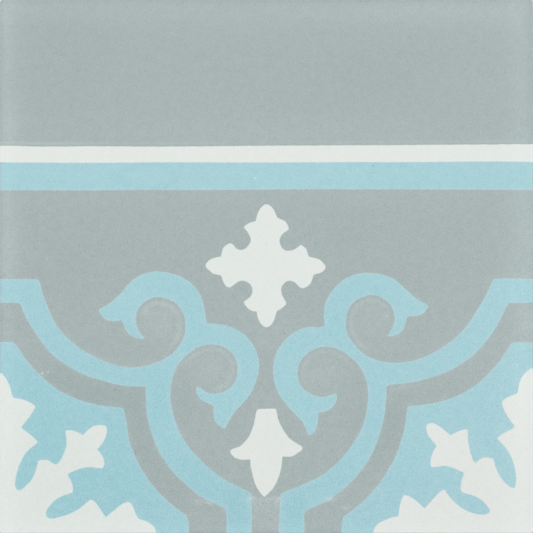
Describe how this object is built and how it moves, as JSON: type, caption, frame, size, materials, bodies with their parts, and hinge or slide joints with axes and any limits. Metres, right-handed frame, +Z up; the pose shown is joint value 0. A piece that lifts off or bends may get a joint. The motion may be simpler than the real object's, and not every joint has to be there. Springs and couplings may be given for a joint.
{
  "type": "border tile",
  "caption": "Square hydraulic cement border tile with a plain outer band, stripes and a scrolled ornament inlaid flush in its face, bedded flat to edge a floor.",
  "frame": {"origin": "middle of the back, on the surface that the tile lies on", "axes": "+Z up through the patterned face, +X along the border, +Y towards the plain outer band"},
  "size_m": [0.2, 0.2, 0.016],
  "materials": {
    "pressed_cement": "matt pigmented cement, flush inlay of grey, pale blue and off-white"
  },
  "bodies": {
    "root": {"border_tile": "pressed_cement"}
  },
  "joints": []
}
